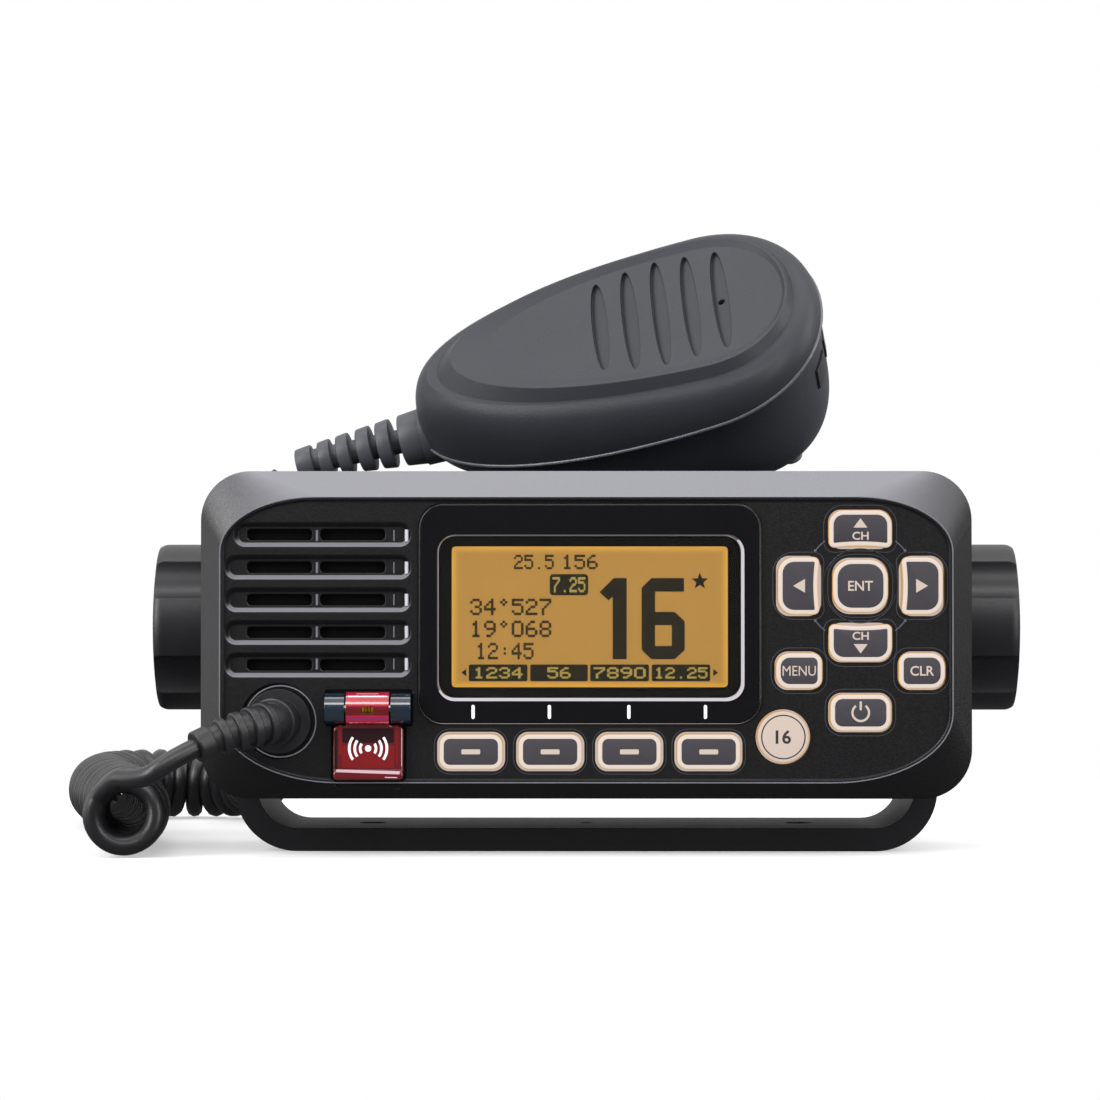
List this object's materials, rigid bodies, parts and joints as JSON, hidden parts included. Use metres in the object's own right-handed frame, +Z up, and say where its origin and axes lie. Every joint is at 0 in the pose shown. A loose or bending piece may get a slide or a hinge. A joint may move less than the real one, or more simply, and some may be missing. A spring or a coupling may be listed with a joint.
{
  "type": "vhf marine radio",
  "caption": "Compact fixed-mount marine VHF radio in a tilting U bracket, with keypad, display, hinged distress cover and a fist microphone on a curly cord.",
  "frame": {"origin": "centre of the bracket base's underside, on the line through its two screw holes", "axes": "+X to the right seen from the front, +Y to the back, +Z up; the tilt axis runs along X above the origin"},
  "size_m": [0.2142, 0.1907, 0.1336],
  "materials": {
    "bracket_plastic": "moulded, fine grain",
    "knob_plastic": "moulded, satin",
    "steel": "stainless",
    "washer_fibre": "friction fibre",
    "panel_plastic": "moulded, satin",
    "bezel_plastic": "gloss",
    "display_glass": "clear",
    "display_amber": "lit amber",
    "key_dark": "laser-etched legend",
    "key_lit": "lit silicone",
    "distress_red": "moulded red",
    "cap_gloss": "gloss",
    "silicone": "silicone",
    "board_green": "solder mask",
    "speaker_paper": "pressed pulp",
    "mesh_cloth": "acoustic cloth",
    "cast_case": "black anodised casting",
    "shield_tin": "tinned",
    "nickel": "nickel plated",
    "rubber_black": "moulded",
    "mic_plastic": "fine spark grain"
  },
  "bodies": {
    "bracket": {"mounting_bracket": "bracket_plastic", "friction_washers": "washer_fibre"},
    "knob_left": {"knob_left": "knob_plastic", "knob_left_bolt": "steel"},
    "knob_right": {"knob_right": "knob_plastic", "knob_right_bolt": "steel"},
    "radio": {"front_panel": "panel_plastic", "display_bezel": "bezel_plastic", "display_glass": "display_glass", "lcd_module": "display_amber", "key_mat": "silicone", "front_board": "board_green", "board_screws": "steel", "grille_mesh": "mesh_cloth", "speaker_frame": "steel", "speaker_cone": "speaker_paper", "hinge_caps": "cap_gloss", "hinge_pin": "steel", "hinge_spring": "steel", "panel_gasket": "rubber_black", "chassis": "cast_case", "chassis_screws": "steel", "main_board": "board_green", "shield_can": "shield_tin", "power_module": "rubber_black", "antenna_socket": "nickel", "cable_glands": "rubber_black", "ground_screw": "nickel", "panel_boot": "rubber_black", "cord_lead": "rubber_black", "cord_coil": "rubber_black", "cord_tail": "rubber_black"},
    "key_up": {"key_up": "key_dark"},
    "key_down": {"key_down": "key_dark"},
    "key_left": {"key_left": "key_dark"},
    "key_right": {"key_right": "key_dark"},
    "key_enter": {"key_enter": "key_dark"},
    "key_menu": {"key_menu": "key_dark"},
    "key_clear": {"key_clear": "key_dark"},
    "key_power": {"key_power": "key_dark"},
    "key_sixteen": {"key_sixteen": "key_lit"},
    "key_soft_1": {"key_soft_1": "key_lit"},
    "key_soft_2": {"key_soft_2": "key_lit"},
    "key_soft_3": {"key_soft_3": "key_lit"},
    "key_soft_4": {"key_soft_4": "key_lit"},
    "distress_button": {"distress_button": "distress_red"},
    "distress_cover": {"distress_cover": "distress_red"},
    "microphone": {"mic_front_shell": "mic_plastic", "mic_rear_shell": "mic_plastic", "mic_seam_gasket": "rubber_black", "mic_board": "board_green", "mic_element": "nickel", "ptt_switch": "rubber_black", "mic_screws": "steel", "mic_hanger_stud": "nickel", "mic_boot": "rubber_black"},
    "ptt_button": {"ptt_button": "rubber_black"},
    "key_mic_down": {"key_mic_down": "silicone"},
    "key_mic_power": {"key_mic_power": "silicone"},
    "key_mic_up": {"key_mic_up": "silicone"}
  },
  "joints": [
    {"name": "tilt", "type": "hinge", "parent": "bracket", "child": "radio", "pos_m": [0, 0, 0.0466], "axis": [-1, 0, 0], "range_deg": [-7, 15]},
    {"name": "knob_left_turn", "type": "hinge", "parent": "bracket", "child": "knob_left", "pos_m": [-0.083, 0, 0.0466], "axis": [1, 0, 0], "continuous": true},
    {"name": "knob_right_turn", "type": "hinge", "parent": "bracket", "child": "knob_right", "pos_m": [0.083, 0, 0.0466], "axis": [1, 0, 0], "continuous": true},
    {"name": "key_up_press", "type": "slide", "parent": "radio", "child": "key_up", "axis": [0, 1, 0], "range_m": [0, 0.0008], "stiffness_N_per_m": 1500, "springref_m": -0.0003},
    {"name": "key_down_press", "type": "slide", "parent": "radio", "child": "key_down", "axis": [0, 1, 0], "range_m": [0, 0.0008], "stiffness_N_per_m": 1500, "springref_m": -0.0003},
    {"name": "key_left_press", "type": "slide", "parent": "radio", "child": "key_left", "axis": [0, 1, 0], "range_m": [0, 0.0008], "stiffness_N_per_m": 1500, "springref_m": -0.0003},
    {"name": "key_right_press", "type": "slide", "parent": "radio", "child": "key_right", "axis": [0, 1, 0], "range_m": [0, 0.0008], "stiffness_N_per_m": 1500, "springref_m": -0.0003},
    {"name": "key_enter_press", "type": "slide", "parent": "radio", "child": "key_enter", "axis": [0, 1, 0], "range_m": [0, 0.0008], "stiffness_N_per_m": 1500, "springref_m": -0.0003},
    {"name": "key_menu_press", "type": "slide", "parent": "radio", "child": "key_menu", "axis": [0, 1, 0], "range_m": [0, 0.0008], "stiffness_N_per_m": 1500, "springref_m": -0.0003},
    {"name": "key_clear_press", "type": "slide", "parent": "radio", "child": "key_clear", "axis": [0, 1, 0], "range_m": [0, 0.0008], "stiffness_N_per_m": 1500, "springref_m": -0.0003},
    {"name": "key_power_press", "type": "slide", "parent": "radio", "child": "key_power", "axis": [0, 1, 0], "range_m": [0, 0.0008], "stiffness_N_per_m": 1500, "springref_m": -0.0003},
    {"name": "key_sixteen_press", "type": "slide", "parent": "radio", "child": "key_sixteen", "axis": [0, 1, 0], "range_m": [0, 0.0008], "stiffness_N_per_m": 1500, "springref_m": -0.0003},
    {"name": "key_soft_1_press", "type": "slide", "parent": "radio", "child": "key_soft_1", "axis": [0, 1, 0], "range_m": [0, 0.0008], "stiffness_N_per_m": 1500, "springref_m": -0.0003},
    {"name": "key_soft_2_press", "type": "slide", "parent": "radio", "child": "key_soft_2", "axis": [0, 1, 0], "range_m": [0, 0.0008], "stiffness_N_per_m": 1500, "springref_m": -0.0003},
    {"name": "key_soft_3_press", "type": "slide", "parent": "radio", "child": "key_soft_3", "axis": [0, 1, 0], "range_m": [0, 0.0008], "stiffness_N_per_m": 1500, "springref_m": -0.0003},
    {"name": "key_soft_4_press", "type": "slide", "parent": "radio", "child": "key_soft_4", "axis": [0, 1, 0], "range_m": [0, 0.0008], "stiffness_N_per_m": 1500, "springref_m": -0.0003},
    {"name": "distress_button_press", "type": "slide", "parent": "radio", "child": "distress_button", "axis": [0, 1, 0], "range_m": [0, 0.0008], "stiffness_N_per_m": 1500, "springref_m": -0.0003},
    {"name": "distress_cover_open", "type": "hinge", "parent": "radio", "child": "distress_cover", "pos_m": [-0.04395, -0.0493, 0.0303], "axis": [-1, 0, 0], "range_deg": [0, 110], "stiffness_Nm_per_rad": 0.006, "springref_deg": -20.05},
    {"name": "mic_lift", "type": "slide", "parent": "radio", "child": "microphone", "axis": [0, 0, 1], "range_m": [0, 0.08]},
    {"name": "ptt_press", "type": "slide", "parent": "microphone", "child": "ptt_button", "axis": [0.0699, -0.7011, -0.7096], "range_m": [0, 0.0016], "stiffness_N_per_m": 1200, "springref_m": -0.0005},
    {"name": "key_mic_down_press", "type": "slide", "parent": "microphone", "child": "key_mic_down", "axis": [-0.9692, 0.1207, -0.2147], "range_m": [0, 0.0006], "stiffness_N_per_m": 1500, "springref_m": -0.0003},
    {"name": "key_mic_power_press", "type": "slide", "parent": "microphone", "child": "key_mic_power", "axis": [-0.9692, 0.1207, -0.2147], "range_m": [0, 0.0006], "stiffness_N_per_m": 1500, "springref_m": -0.0003},
    {"name": "key_mic_up_press", "type": "slide", "parent": "microphone", "child": "key_mic_up", "axis": [-0.9692, 0.1207, -0.2147], "range_m": [0, 0.0006], "stiffness_N_per_m": 1500, "springref_m": -0.0003}
  ]
}
